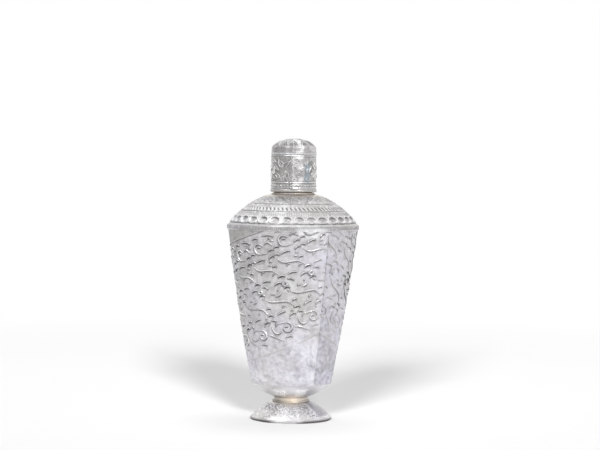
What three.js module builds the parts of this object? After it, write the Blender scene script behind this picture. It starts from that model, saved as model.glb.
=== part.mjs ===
// A sindoor box in the form of a footed silver bottle, with a push-on cap that carries an applicator.
// Millimetres, +Z up, origin at the centre of the foot's underside. Every piece is turned about the Z axis.
// Worked from silver sheet: a seamed conical wall on a bowl and a domed foot, closed by a domed
// shoulder with a neck tube. The cap slides on the neck tube, and its applicator hangs in the powder.

import * as THREE from "three";

// Sheet, solder and fits
const facets = 48; // sides of a full turn
const arcSteps = 6; // steps along a curved profile
const beadSteps = 4; // steps round a bead
const bodySheet = 0.5;
const capSheet = 0.5;
const linerSheet = 0.4;
const solderGap = 0.03; // film between two soldered pieces
const slideClearance = 0.06; // liner round the neck tube, on the radius
const lipClearance = 0.07; // applicator disc above the neck's lip
const swivelClearance = 0.03; // applicator disc inside the cap, on the radius and in height

// Foot
const footRadius = 14.4;
const footRimWidth = 1.3;
const footRimHeight = 0.9;
const footRimChamfer = 0.2;
const footSkirtInset = 0.4; // skirt's lower edge in from the rim's outer edge
const footHeight = 6.3;
const footBulge = 0.62;
const footHoleRadius = 4.9;

// Stem
const stemRadius = 6.0;
const stemSheet = 0.6;
const stemHeight = 1.7;
const stemRingWidth = 0.7;
const stemRingHeight = 0.55;

// Bowl under the wall
const bowlHeight = 5.0;
const bowlTopRadius = 14.2;
const bowlBulge = 0.62;
const bowlLipHeight = 1.2; // collar that stands inside the wall

// Conical wall
const wallBottomRadius = 14.3;
const wallTopRadius = 23.05;
const wallHeight = 55.05;
const wallBulge = 0.4;

// Band round the joint of wall and shoulder
const bandSheet = 0.42;
const bandBelow = 0.5; // reach below the joint
const bandAbove = 1.1; // reach above it

// Shoulder
const shoulderHeight = 12.15; // from the joint to the flat round the neck
const shoulderBulge = 1.75;
const shoulderSteps = 8;

// Neck
const neckRadius = 6.7;
const neckSheet = 0.45;
const neckHeight = 12.93; // above the shoulder
const neckTail = 1.3; // below the shoulder's top, inside
const collarWidth = 0.7;
const collarHeight = 0.3;

// Cap
const capRadius = 8.0;
const mouthGap = 0.25; // cap's mouth above the collar
const mouthRingHeight = 1.0;
const mouthRingProud = 0.28; // bead past the cap's wall
const mouthRingRound = 0.22; // how far its nose stands out
const domeBeadHeight = 0.9;
const domeBeadProud = 0.14;
const domeBeadInner = 6.9;
const domeSkirtHeight = 1.8;
const domeSkirtTaper = 0.16;
const domeHeight = 3.27; // above its skirt
const domeFlatness = 1.7; // power of the dome's curve: 1 is elliptic, 2 parabolic

// Applicator
const discSheet = 0.6;
const ferruleRadius = 1.5;
const ferruleHeight = 1.5;
const rodRadius = 0.8;
const tipRadius = 1.7;
const tipHeight = 4.6;
const tipClearance = 5.6; // tip above the bowl's floor

// Levels, from the floor up
const stemBottom = footHeight + solderGap;
const bowlBottom = stemBottom + stemHeight + solderGap;
const bowlTop = bowlBottom + bowlHeight;
const wallBottom = bowlTop + solderGap;
const wallTop = wallBottom + wallHeight;
const shoulderBottom = wallTop + solderGap;
const shoulderTop = shoulderBottom + shoulderHeight;
const collarBottom = shoulderTop + solderGap;
const neckTop = shoulderTop + neckHeight;
const mouthBottom = collarBottom + collarHeight + mouthGap;
const discBottom = neckTop + lipClearance;
const discTop = discBottom + discSheet;
const capWallTop = discTop + swivelClearance;
const domeBeadBottom = capWallTop + solderGap;
const domeBottom = domeBeadBottom + domeBeadHeight + solderGap;
const linerTop = discBottom - swivelClearance;
const tipBottom = bowlBottom + bodySheet + tipClearance;

// Radii that one piece takes from another
const neckInner = neckRadius - neckSheet;
const linerInner = neckRadius + slideClearance;
const linerOuter = linerInner + linerSheet;
const capInner = capRadius - capSheet;
const stemRingRadius = stemRadius + solderGap + stemRingWidth;

const embossedSilver = new THREE.MeshStandardMaterial({ color: 0xcfcdc9, roughness: 0.38, metalness: 1 });
const polishedSilver = new THREE.MeshStandardMaterial({ color: 0xd9d4cb, roughness: 0.22, metalness: 1 });
const plainSilver = new THREE.MeshStandardMaterial({ color: 0xc4c1bb, roughness: 0.32, metalness: 1 });

const point = (radius, height) => new THREE.Vector2(radius, height);
const inward = point(-1, 0);
const downward = point(0, -1);
const upward = point(0, 1);

// Points of the arc from one point to another that stands off its chord, to the right of the way it runs.
function arc(from, to, bulge, steps = arcSteps) {
  const chord = to.clone().sub(from);
  const side = point(chord.y, -chord.x).normalize();
  const radius = chord.lengthSq() / (8 * bulge) + bulge / 2;
  const halfTurn = Math.asin(chord.length() / (2 * radius));
  const centre = from.clone().add(to).multiplyScalar(0.5).addScaledVector(side, bulge - radius);
  const along = chord.clone().normalize();
  return Array.from({ length: steps + 1 }, (_, i) => {
    const turn = halfTurn * ((2 * i) / steps - 1);
    return centre
      .clone()
      .addScaledVector(along, radius * Math.sin(turn))
      .addScaledVector(side, radius * Math.cos(turn));
  });
}

// The closed outline of a sheet whose outer face follows the points; each end is cut along its own direction.
function sheetOutline(outer, thickness, startCut, endCut) {
  const last = outer.length - 1;
  const inner = outer.map((p, i) => {
    if (i === 0) return p.clone().addScaledVector(startCut, thickness);
    if (i === last) return p.clone().addScaledVector(endCut, thickness);
    const run = outer[i + 1].clone().sub(outer[i - 1]).normalize();
    return p.clone().add(point(-run.y, run.x).multiplyScalar(thickness));
  });
  return [...outer, ...inner.reverse()];
}

// A ring with a plain inside and a rounded outside.
function beadOutline(innerRadius, outerRadius, bottom, height, round = height / 2) {
  const shoulderRadius = outerRadius - Math.min(round, (outerRadius - innerRadius) / 2);
  const nose = arc(point(shoulderRadius, bottom), point(shoulderRadius, bottom + height), outerRadius - shoulderRadius, beadSteps);
  return [point(innerRadius, bottom), ...nose, point(innerRadius, bottom + height)];
}

function tubeOutline(innerRadius, outerRadius, bottom, top) {
  return [point(innerRadius, bottom), point(outerRadius, bottom), point(outerRadius, top), point(innerRadius, top)];
}

// Turns a closed outline, or one that starts and ends on the axis, into a named solid about the Z axis.
function turned(name, material, outline) {
  const onAxis = outline[0].x === 0 && outline[outline.length - 1].x === 0;
  const closed = onAxis ? outline : [...outline, outline[0]];
  const geometry = new THREE.LatheGeometry(closed, facets).rotateX(Math.PI / 2);
  const mesh = new THREE.Mesh(geometry, material);
  mesh.name = name;
  return mesh;
}

function footRim() {
  const inner = footRadius - footRimWidth;
  return turned("foot_rim_wire", polishedSilver, [
    point(inner, 0),
    point(footRadius - footRimChamfer, 0),
    point(footRadius, footRimChamfer),
    point(footRadius, footRimHeight - footRimChamfer),
    point(footRadius - footRimChamfer, footRimHeight),
    point(inner, footRimHeight),
  ]);
}

function footSkirt() {
  const edge = point(footRadius - footSkirtInset, footRimHeight + solderGap);
  const crown = point(stemRingRadius, footHeight);
  const outer = [...arc(edge, crown, footBulge), point(footHoleRadius, footHeight)];
  return turned("foot_skirt", embossedSilver, sheetOutline(outer, bodySheet, inward, downward));
}

function stemTube() {
  const outline = tubeOutline(stemRadius - stemSheet, stemRadius, stemBottom, stemBottom + stemHeight);
  return turned("stem_tube", polishedSilver, outline);
}

function stemRing() {
  return turned("stem_ring", polishedSilver, beadOutline(stemRadius + solderGap, stemRingRadius, stemBottom, stemRingHeight));
}

// The wall's inner radius, without its bulge, so what stands inside it stays clear.
function wallInner(height) {
  const share = (height - wallBottom) / wallHeight;
  return THREE.MathUtils.lerp(wallBottomRadius, wallTopRadius, share) - bodySheet;
}

// A closed pan whose rim carries the wall and whose collar stands inside it.
function bowl() {
  const lipTop = bowlTop + bowlLipHeight;
  const side = arc(point(stemRadius, bowlBottom), point(bowlTopRadius, bowlTop), bowlBulge);
  const run = side.at(-1).clone().sub(side[0]).normalize();
  const inside = side.slice(1, -1).map((p) => p.clone().add(point(-run.y, run.x).multiplyScalar(bodySheet)));
  const lipRoot = wallInner(wallBottom) - solderGap;
  const lipEdge = wallInner(lipTop) - solderGap;
  return turned("bowl", polishedSilver, [
    point(0, bowlBottom),
    ...side,
    point(lipRoot, bowlTop),
    point(lipEdge, lipTop),
    point(lipEdge - bodySheet, lipTop),
    ...inside.reverse(),
    point(stemRadius - bodySheet, bowlBottom + bodySheet),
    point(0, bowlBottom + bodySheet),
  ]);
}

function bodyWall() {
  const outer = arc(point(wallBottomRadius, wallBottom), point(wallTopRadius, wallTop), wallBulge);
  return turned("body_wall", embossedSilver, sheetOutline(outer, bodySheet, inward, inward));
}

function rimBand() {
  const inner = wallTopRadius + solderGap;
  const outline = tubeOutline(inner, inner + bandSheet, wallTop - bandBelow, wallTop + bandAbove);
  return turned("rim_band", embossedSilver, outline);
}

function shoulder() {
  const hole = neckRadius + solderGap;
  const spring = point(wallTopRadius, shoulderBottom + bandAbove);
  const crown = point(neckRadius + collarWidth, shoulderTop);
  const outer = [point(wallTopRadius, shoulderBottom), ...arc(spring, crown, shoulderBulge, shoulderSteps), point(hole, shoulderTop)];
  return turned("shoulder", embossedSilver, sheetOutline(outer, bodySheet, inward, downward));
}

function neckTube() {
  return turned("neck_tube", plainSilver, tubeOutline(neckInner, neckRadius, shoulderTop - neckTail, neckTop));
}

function neckCollar() {
  const inner = neckRadius + solderGap;
  return turned("neck_collar", polishedSilver, beadOutline(inner, inner + collarWidth, collarBottom, collarHeight));
}

function capMouthRing() {
  const nose = capRadius + mouthRingProud;
  const outline = beadOutline(linerOuter + solderGap, nose, mouthBottom, mouthRingHeight, mouthRingRound);
  return turned("cap_mouth_ring", polishedSilver, outline);
}

function capWall() {
  const bottom = mouthBottom + mouthRingHeight + solderGap;
  return turned("cap_wall", embossedSilver, tubeOutline(capInner, capRadius, bottom, capWallTop));
}

function capLiner() {
  return turned("cap_liner", plainSilver, tubeOutline(linerInner, linerOuter, mouthBottom, linerTop));
}

// The bead's inner edge reaches over the applicator's disc and keeps it in the cap.
function capDomeBead() {
  const outline = beadOutline(domeBeadInner, capRadius + domeBeadProud, domeBeadBottom, domeBeadHeight);
  return turned("cap_dome_bead", polishedSilver, outline);
}

// A short straight skirt under a shell of elliptic section.
function capDome() {
  const springing = domeBottom + domeSkirtHeight;
  const springRadius = capRadius - domeSkirtTaper;
  const shellOf = (depth) =>
    Array.from({ length: arcSteps + 1 }, (_, i) => {
      const turn = (Math.PI / 2) * (i / arcSteps);
      const radius = i === arcSteps ? 0 : (springRadius - depth) * Math.cos(turn);
      return point(radius, springing + (domeHeight - depth) * Math.sin(turn) ** domeFlatness);
    });
  return turned("cap_dome", embossedSilver, [
    ...shellOf(capSheet).reverse(),
    point(capInner, domeBottom),
    point(capRadius, domeBottom),
    ...shellOf(0),
  ]);
}

function applicatorDisc() {
  const radius = capInner - swivelClearance;
  return turned("applicator_disc", plainSilver, [
    point(0, discBottom),
    point(radius, discBottom),
    point(radius, discTop),
    point(0, discTop),
  ]);
}

function applicatorFerrule() {
  const top = discBottom - solderGap;
  const outline = tubeOutline(rodRadius + solderGap, ferruleRadius, top - ferruleHeight, top);
  return turned("applicator_ferrule", plainSilver, outline);
}

function applicatorRod() {
  const bottom = tipBottom + tipHeight + solderGap;
  const top = discBottom - solderGap;
  return turned("applicator_rod", plainSilver, [point(0, bottom), point(rodRadius, bottom), point(rodRadius, top), point(0, top)]);
}

// An olive, cut flat at its top where the rod is soldered on.
function applicatorTip() {
  const reach = Math.PI - Math.asin(rodRadius / tipRadius);
  const belly = Array.from({ length: arcSteps + 1 }, (_, i) => {
    const turn = (reach * i) / arcSteps;
    return point(tipRadius * Math.sin(turn), tipBottom + (tipHeight * (1 - Math.cos(turn))) / 2);
  });
  const top = tipBottom + tipHeight;
  return turned("applicator_tip", plainSilver, [...belly, point(rodRadius, top), point(0, top)]);
}

const vessel = new THREE.Group();
vessel.add(footRim(), footSkirt(), stemTube(), stemRing(), bowl(), bodyWall());
vessel.add(rimBand(), shoulder(), neckTube(), neckCollar());

const applicator = new THREE.Group();
applicator.add(applicatorDisc(), applicatorFerrule(), applicatorRod(), applicatorTip());

const cap = new THREE.Group();
cap.add(capMouthRing(), capWall(), capLiner(), capDomeBead(), capDome());

const sindoorBox = new THREE.Group();
sindoorBox.add(vessel, applicator, cap);

export default sindoorBox;
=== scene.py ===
# A silver sindoor bottle, chased and polished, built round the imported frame.

import math

import bpy
import numpy as np
from mathutils import Matrix, Vector, kdtree, noise


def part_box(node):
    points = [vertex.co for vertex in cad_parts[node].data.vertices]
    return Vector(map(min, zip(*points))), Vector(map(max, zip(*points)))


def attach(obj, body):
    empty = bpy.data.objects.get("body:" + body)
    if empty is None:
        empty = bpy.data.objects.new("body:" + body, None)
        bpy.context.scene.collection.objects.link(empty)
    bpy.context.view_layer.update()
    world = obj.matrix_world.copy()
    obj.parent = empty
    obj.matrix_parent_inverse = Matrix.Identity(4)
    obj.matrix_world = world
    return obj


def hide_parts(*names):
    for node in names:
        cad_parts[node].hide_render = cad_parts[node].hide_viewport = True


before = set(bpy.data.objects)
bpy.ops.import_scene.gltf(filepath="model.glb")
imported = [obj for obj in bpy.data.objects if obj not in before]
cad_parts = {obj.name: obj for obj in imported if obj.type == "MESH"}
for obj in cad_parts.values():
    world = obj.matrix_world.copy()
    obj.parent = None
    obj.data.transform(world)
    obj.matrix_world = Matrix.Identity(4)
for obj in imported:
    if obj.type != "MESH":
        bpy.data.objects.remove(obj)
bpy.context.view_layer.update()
mm = 0.001
# the side that light is painted from: flanks turned there get painted highlight, flanks turned away painted
# shade
lightSide = (0.5, 0.86)  # right and up: the flanks of the relief that look there are bright


# Picking and finishing

def pickNothing():
    bpy.ops.object.select_all(action="DESELECT")


def pickOnly(*pieces):
    pickNothing()
    for piece in pieces:
        piece.select_set(True)
    bpy.context.view_layer.objects.active = pieces[0]


def editAll(piece):
    pickOnly(piece)
    bpy.ops.object.mode_set(mode="EDIT")
    bpy.ops.mesh.select_all(action="SELECT")


def finishWith(piece, kind, **settings):
    pickOnly(piece)
    bpy.ops.object.modifier_add(type=kind)
    modifier = piece.modifiers[-1]
    for setting, value in settings.items():
        setattr(modifier, setting, value)
    bpy.ops.object.modifier_apply(modifier=modifier.name)


def smoothBy(piece, degrees):
    pickOnly(piece)
    bpy.ops.object.shade_smooth_by_angle(angle=math.radians(degrees))


def joined(name, pieces):
    pickOnly(*pieces)
    bpy.ops.object.join()
    piece = bpy.context.object
    piece.name = name
    return piece


def settle(piece, material, body, slot, *nodes):
    piece.data.materials.clear()
    piece.data.materials.append(material)
    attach(piece, body)
    if nodes:
        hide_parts(*nodes)


# Arrays in and out of a mesh

def pointsOf(piece, what="co"):
    values = np.empty(3 * len(piece.data.vertices))
    piece.data.vertices.foreach_get(what, values)
    return values.reshape(-1, 3)


def movePoints(piece, points):
    piece.data.vertices.foreach_set("co", points.ravel())
    piece.data.update()


def movePolar(piece, azimuth, radius, height):
    movePoints(piece, np.column_stack((radius * np.sin(azimuth), -radius * np.cos(azimuth), height)))


def keepFields(piece, **fields):
    for name, values in fields.items():
        field = piece.data.attributes.new(name=name, type="FLOAT", domain="POINT")
        field.data.foreach_set("value", np.asarray(values, dtype=np.float32))


def azimuthOf(points):  # from the front towards the right, in radians
    return np.arctan2(points[:, 0], -points[:, 1])


def radiusOf(points):
    return np.hypot(points[:, 0], points[:, 1])


def asideOf(points):  # the way to the right along the surface
    azimuth = azimuthOf(points)
    return np.column_stack((np.cos(azimuth), np.sin(azimuth), 0 * azimuth))


def noiseAt(points, size, shift):  # -1 to 1, with lumps of about the size
    return np.array([noise.noise(Vector(p) / size + Vector((shift, shift, shift))) for p in points])


def noises(points, *kinds):  # one for each size in mm and shift
    return [noiseAt(points, size * mm, shift) for size, shift in kinds]


def unit(values):  # held between 0 and 1
    return np.clip(values, 0, 1)


def hump(values, centre, half):  # 1 at the centre, 0 from half away
    return unit(1 - ((values - centre) / half) ** 2) ** 2


def within(values, low, high, soft):  # 1 between the two, fading over soft
    return unit((values - low) / soft) * unit((high - values) / soft)


def wave(azimuth, count, shift=0.0):  # place in each of count repeats, -0.5 to 0.5
    return (azimuth * count / math.tau + shift) % 1 - 0.5


def turnFrom(azimuth, start):  # from the start, half a turn to each side
    return (azimuth - start + math.pi) % math.tau - math.pi


def inOval(u, v, length, width, turn):  # shares of its half length and half width
    c, s = math.cos(math.radians(turn)), math.sin(math.radians(turn))
    return (u * c + v * s) / (0.5 * length), (v * c - u * s) / (0.5 * width)


# Turned pieces: the section comes from the CAD piece, is drawn as a loop and spun

def cadOutline(node):  # the section at y = 0, x > 0, as (radius, height) in order, material on the left
    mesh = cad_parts[node].data
    flat = {v.index: (round(v.co.x, 7), round(v.co.z, 7)) for v in mesh.vertices
            if abs(v.co.y) < 1e-7 and v.co.x > -1e-7}
    links = {}
    for edge in mesh.edges:
        a, b = (flat.get(i) for i in edge.vertices)
        if a and b and a != b and not (a[0] < 1e-6 and b[0] < 1e-6):
            links.setdefault(a, set()).add(b)
            links.setdefault(b, set()).add(a)
    ends = [p for p in links if p[0] < 1e-6]
    path = [min(ends, key=lambda p: p[1]) if ends else min(links, key=lambda p: (p[1], -p[0]))]
    while True:
        ahead = [p for p in links[path[-1]] if p not in path]
        if not ahead:
            break
        path.append(max(ahead, key=lambda p: p[0]) if len(path) == 1 else ahead[0])
    area = sum(a[0] * b[1] - b[0] * a[1] for a, b in zip(path, path[1:] + path[:1]))
    return path if area > 0 else path[::-1]


def smoothOutline(outline, outerStep, innerStep, corner=30):  # curves rounded, sharp corners kept
    count = len(outline)
    closed = outline[0][0] > 1e-6
    points = [Vector(p) for p in outline]
    last = count if closed else count - 1

    def tangent(index, run):
        if not closed and index in (0, count - 1):
            return run
        before = points[index] - points[index - 1]
        after = points[(index + 1) % count] - points[index]
        if math.degrees(before.angle(after)) > corner:
            return run
        return (before.normalized() + after.normalized()).normalized() * run.length

    result = []
    for i in range(last):
        start, end = points[i], points[(i + 1) % count]
        run = end - start
        step = outerStep if run.y > 1e-7 else innerStep
        pieces = max(1, math.ceil(run.length / step - 1e-6))
        out, into = tangent(i, run), tangent((i + 1) % count, run)
        for k in range(pieces):
            t = k / pieces
            place = (start * (2 * t**3 - 3 * t**2 + 1) + out * (t**3 - 2 * t**2 + t)
                     + end * (3 * t**2 - 2 * t**3) + into * (t**3 - t**2))
            result.append((max(place.x, 0.0), place.y))
    if not closed:
        result.append(outline[-1])
    return result


def turned(name, outline, around):
    pickNothing()
    bpy.ops.mesh.primitive_circle_add(vertices=len(outline), radius=outline[0][0] + mm)
    piece = bpy.context.object
    piece.name = name
    for vertex, (radius, height) in zip(piece.data.vertices, outline):
        vertex.co = (radius, 0, height)
    for edge in piece.data.edges:
        edge.select = all(piece.data.vertices[i].co.x < 1e-7 for i in edge.vertices)
    for vertex in piece.data.vertices:
        vertex.select = vertex.co.x < 1e-7
    bpy.ops.object.mode_set(mode="EDIT")
    if outline[0][0] < 1e-7:  # the closing edge on the axis isn't spun
        bpy.ops.mesh.select_mode(type="EDGE")
        bpy.ops.mesh.delete(type="EDGE")
        bpy.ops.mesh.select_mode(type="VERT")
    bpy.ops.mesh.select_all(action="SELECT")
    bpy.ops.mesh.spin(steps=around, angle=math.tau, center=(0, 0, 0), axis=(0, 0, 1))
    bpy.ops.mesh.select_all(action="SELECT")
    bpy.ops.mesh.remove_doubles(threshold=1e-6)
    bpy.ops.mesh.normals_make_consistent(inside=False)
    bpy.ops.object.mode_set(mode="OBJECT")
    return piece


def facesOut(points, normals):  # the outer skin of a turned sheet, not its inside
    radius = np.maximum(radiusOf(points), 1e-9)
    return (normals[:, 0] * points[:, 0] + normals[:, 1] * points[:, 1]) / radius + normals[:, 2] > 0.3


def liftSurface(piece, heights):  # moves each point along its normal, by metres
    for name, part, way in (("raised", np.maximum(heights, 0), 1), ("sunk", np.maximum(-heights, 0), -1)):
        most = float(part.max())
        if most > 0:
            group = piece.vertex_groups.new(name=name)
            for i in np.nonzero(part > 0.002 * most)[0]:
                group.add([int(i)], float(part[i]) / most, "REPLACE")
            finishWith(piece, "DISPLACE", vertex_group=name, strength=way * most, mid_level=0.0)


def upward(piece, skin):  # how far each point turns from its smooth skin to the light side, about -1 to 1
    aside, (right, up) = asideOf(pointsOf(piece)), lightSide
    turn = pointsOf(piece, "normal") - skin
    return (turn * (right * aside + up * np.cross(skin, aside))).sum(axis=1)


def flatLit(normals):  # the same for a line that still lies flat
    return lightSide[0] * normals[:, 0] + lightSide[1] * normals[:, 1]


def embossed(name, node, body, finish, job, work, paintedFlankLight, innerStep=2.0):  # a turned sheet, relief outside
    outline = smoothOutline(cadOutline(node), job["rowStep"] * mm, innerStep * mm)
    piece = turned(name, outline, job["around"])
    points, skin = pointsOf(piece), pointsOf(piece, "normal")
    outside = facesOut(points, skin)
    fields = work(azimuthOf(points), radiusOf(points) / mm, points)
    liftSurface(piece, fields["relief"] * outside * mm)
    # painted light: flanks turned towards the light side get painted highlight, those turned away painted
    # shade
    flank = upward(piece, skin) * paintedFlankLight
    fields["grime"] = unit(fields["grime"] - flank)
    fields["shine"] = unit(fields["shine"] + flank)
    keepFields(piece, **{field: values * outside for field, values in fields.items()})
    smoothBy(piece, 40)
    settle(piece, finish, body, "embossed_silver", node)
    print(name, "embossed:", len(piece.data.polygons), "faces")


def plainTurned(name, node, rounding, corner):  # a turned piece with its edges eased
    piece = turned(name, smoothOutline(cadOutline(node), 0.3 * mm, 1.5 * mm, corner), 160)
    if rounding:
        finishWith(piece, "BEVEL", width=rounding, segments=2, limit_method="ANGLE",
                   angle_limit=math.radians(40))
    smoothBy(piece, 35)
    return piece


# Shader values as plain expressions

class Wire:  # one output of a node
    def __init__(self, tree, socket=None):
        self.tree = tree
        self.socket = socket

    def node(self, kind, settings=None, inputs=None, output=0):  # any node: settings first, then its sockets
        made = self.tree.nodes.new(kind)
        for name, value in (settings or {}).items():
            setattr(made, name, value)
        for name, value in (inputs or {}).items():
            if isinstance(value, Wire):
                self.tree.links.new(value.socket, made.inputs[name])
            else:
                made.inputs[name].default_value = value
        return Wire(self.tree, made.outputs[output])

    def maths(self, operation, a, b):
        return self.node("ShaderNodeMath", {"operation": operation}, {0: a, 1: b})

    def __add__(self, other):
        return self.maths("ADD", self, other)
    __radd__ = __add__

    def __sub__(self, other):
        return self.maths("SUBTRACT", self, other)

    def __rsub__(self, other):
        return self.maths("SUBTRACT", other, self)

    def __mul__(self, other):
        return self.maths("MULTIPLY", self, other)
    __rmul__ = __mul__

    def between(self, low, high):  # 0 at low, 1 at high, and no further
        return self.node("ShaderNodeMapRange", {}, {"Value": self, "From Min": low, "From Max": high})

    def mix(self, first, second):  # colours, by this value
        factor = {"Factor": self, 6: first, 7: second}
        return self.node("ShaderNodeMix", {"data_type": "RGBA"}, factor, 2)

    def into(self, socket):
        self.tree.links.new(self.socket, socket)


def shader(name):
    material = bpy.data.materials.new(name)
    material.use_nodes = True
    return material, Wire(material.node_tree), material.node_tree.nodes["Principled BSDF"]


# Silver. The pieces paint fields that it reads: dirt together with painted shade, polish together with
# painted highlights, tone from dark to bright, tint from straw to a cool hue, and lace, which is fine dark
# specks.

silver = {
    "pale": (0.63, 0.62, 0.62, 1),
    "grey": (0.47, 0.46, 0.465, 1),
    "bright": (0.95, 0.945, 0.96, 1),
    "dark": (0.20, 0.195, 0.195, 1),
    "lilac": (0.64, 0.62, 0.72, 1),
    "blue": (0.46, 0.56, 0.65, 1),
    "straw": (0.61, 0.61, 0.57, 1),
    # the dark of dirt in the hollows, also used for painted shade
    "grime": (0.06, 0.055, 0.055, 1),
    "warm": (0.80, 0.68, 0.53, 1),
    "warmHeights": ((7.3, 1.5), (80.15, 1.25)),  # mm, the soldered stem and neck, with their reach
    "lumps": {  # scale and detail
        "cloud": (260.0, 4.0),
        "patch": (60.0, 2.0),
        "crumple": (800.0, 4.0),
        "fine": (1900.0, 3.0),
        "dent": (230.0, 1.0),
        "specks": (1200.0, 2.0),
        "scratches": (420.0, 5.0),
    },
    "pits": 900.0,
    "scratchStretch": 14.0,
}


def silverMaterial(name, roughness, lightness, grain, scratches, dents, mottle, cool, metal):
    material, start, principled = shader(name)
    place = start.node("ShaderNodeTexCoord", output="Object")

    def painted(field):
        return start.node("ShaderNodeAttribute", {"attribute_name": field}, output=2)

    def lumps(kind, where=place):
        scale, detail = silver["lumps"][kind]
        return start.node("ShaderNodeTexNoise", inputs={"Vector": where, "Scale": scale, "Detail": detail})

    grime, shine, tone, tint, lace = (painted(field) for field in ("grime", "shine", "tone", "tint", "lace"))
    cloud, patch, crumple, fine = (lumps(kind) for kind in ("cloud", "patch", "crumple", "fine"))
    dent, specks = lumps("dent"), lumps("specks")
    pits = start.node("ShaderNodeTexVoronoi", inputs={"Vector": place, "Scale": silver["pits"]})
    height = start.node("ShaderNodeSeparateXYZ", inputs={0: place}, output="Z") * (1 / mm)

    colour = (cloud.between(0.35, 0.68) * mottle).mix(silver["pale"], silver["grey"])
    hue = tint + patch.between(0.3, 0.7) * 0.6 - 0.3
    colour = hue.between(0.0, 1.0).mix(colour, silver[cool])
    colour = hue.between(0.0, -1.0).mix(colour, silver["straw"])
    warm = 0.0
    for centre, reach in silver["warmHeights"]:
        away = start.maths("ABSOLUTE", height - centre, 0.0)
        warm = away.between(reach, 0.2 * reach) + warm
    colour = (warm * cloud.between(0.15, 0.5) * 0.85).mix(colour, silver["warm"])
    mottling = crumple.between(0.3, 0.7) * 0.3 + fine.between(0.35, 0.65) * 0.35 - 0.32
    value = tone + mottling * mottle
    colour = (value.between(0.0, 1.0) * 0.8).mix(colour, silver["bright"])
    colour = (value.between(0.0, -1.0) * 0.8).mix(colour, silver["dark"])
    # polish and painted highlights, towards bright
    colour = (shine.between(0.0, 1.0) * 0.9).mix(colour, silver["bright"])
    speck = specks.between(0.50, 0.60) * lace * patch.between(0.40, 0.60)
    # dirt and painted shade, towards the dark colour
    dirtAndShade = start.maths("MAXIMUM", grime.between(0.0, 1.0) * 0.85, speck * 0.30)
    colour = dirtAndShade.mix(colour, silver["grime"])
    shade = start.node("ShaderNodeHueSaturation", inputs={"Color": colour, "Value": lightness})
    shade.into(principled.inputs["Base Color"])

    gloss = roughness + cloud.between(0.3, 0.7) * 0.08 - shine * 0.12 + dirtAndShade * 0.2
    gloss.into(principled.inputs["Roughness"])
    principled.inputs["Metallic"].default_value = metal

    surface = fine * grain + pits * (0.5 * grain) + dent * dents + crumple * (1.6 * grain) - speck * 0.03
    if scratches:
        stretch = (1.0, 1.0, silver["scratchStretch"])
        stretched = start.node("ShaderNodeMapping", inputs={"Vector": place, "Scale": stretch})
        surface = lumps("scratches", stretched) * scratches + surface
    bump = start.node("ShaderNodeBump", inputs={"Height": surface, "Distance": 1.0 * mm})
    bump.into(principled.inputs["Normal"])
    return material


finishes = {  # roughness, lightness, grain, scratches, dents, mottle, cool hue, share of metal
    "chased_silver": (0.34, 1.0, 0.040, 0.0, 0.08, 0.7, "lilac", 0.88),
    "cap_silver": (0.28, 1.0, 0.012, 0.02, 0.03, 0.5, "blue", 0.8),
    "cap_line_silver": (0.30, 1.0, 0.012, 0.0, 0.03, 0.4, "blue", 0.5),
    "foot_silver": (0.24, 1.12, 0.010, 0.0, 0.03, 0.5, "lilac", 0.85),
    "bright_silver": (0.28, 1.18, 0.005, 0.02, 0.05, 0.3, "lilac", 0.75),
    "worn_silver": (0.27, 1.0, 0.010, 0.06, 0.04, 0.6, "lilac", 1.0),
}
chasedSilver, capSilver, capLineSilver, footSilver, polishedSilver, wornSilver = (
    silverMaterial(name, *values) for name, values in finishes.items())
print("silver finishes mixed")


# Raised lines: each one is drawn flat, with the sheet's surface at z = 0, pressed to its rise and cut below

bedDepth = 0.12 * mm  # how far a raised line goes into the sheet


def cutBelow(piece):
    editAll(piece)
    bpy.ops.mesh.remove_doubles(threshold=1e-7)
    bpy.ops.mesh.bisect(plane_co=(0, 0, -bedDepth), plane_no=(0, 0, 1), use_fill=True, clear_inner=True)
    bpy.ops.mesh.select_all(action="SELECT")
    bpy.ops.mesh.normals_make_consistent(inside=False)
    bpy.ops.object.mode_set(mode="OBJECT")
    return piece


def strand(points, widths, rise, smoothness=3):  # through points in mm, with widths spread along it
    pickNothing()
    bpy.ops.curve.primitive_nurbs_path_add()
    curve = bpy.context.object.data
    curve.splines.clear()
    line = curve.splines.new("NURBS")
    line.points.add(len(points) - 1)
    for i, (knot, (x, y)) in enumerate(zip(line.points, points)):
        knot.co = (x * mm, y * mm, 0, 1)
        knot.radius = np.interp(i / (len(points) - 1), np.linspace(0, 1, len(widths)), widths) / 2
    line.use_endpoint_u = True
    line.order_u = 3
    line.resolution_u = smoothness
    curve.bevel_depth = mm
    curve.bevel_resolution = 1
    curve.use_fill_caps = True
    bpy.ops.object.convert(target="MESH")
    editAll(bpy.context.object)
    bpy.ops.transform.resize(value=(1, 1, 2 * rise / max(widths)), center_override=(0, 0, 0))
    bpy.ops.object.mode_set(mode="OBJECT")
    return cutBelow(bpy.context.object)


def berry(length, width, rise, sides):  # a pressed dot, sizes in mm
    pickNothing()
    bpy.ops.mesh.primitive_uv_sphere_add(segments=sides, ring_count=6, radius=mm / 2, location=(0, 0, 0),
                                         scale=(length, width, 2 * rise))
    bpy.ops.object.transform_apply()
    return cutBelow(bpy.context.object)


def arcPoints(cx, cy, radius, start, end, count, endRadius=None):  # angles in degrees
    last = radius if endRadius is None else endRadius
    arc = []
    for share in (i / (count - 1) for i in range(count)):
        turn = math.radians(start + (end - start) * share)
        reach = radius + (last - radius) * share
        arc.append((cx + reach * math.cos(turn), cy + reach * math.sin(turn)))
    return arc


def archPoints(x, y, length, width, turn):  # the upper rim of an oval
    c, s = math.cos(math.radians(turn)), math.sin(math.radians(turn))
    rim = [(0.5 * length * math.cos(a), 0.5 * width * math.sin(a)) for a in np.linspace(2.95, 0.19, 7)]
    return [(x + u * c - v * s, y + u * s + v * c) for u, v in rim]


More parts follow.
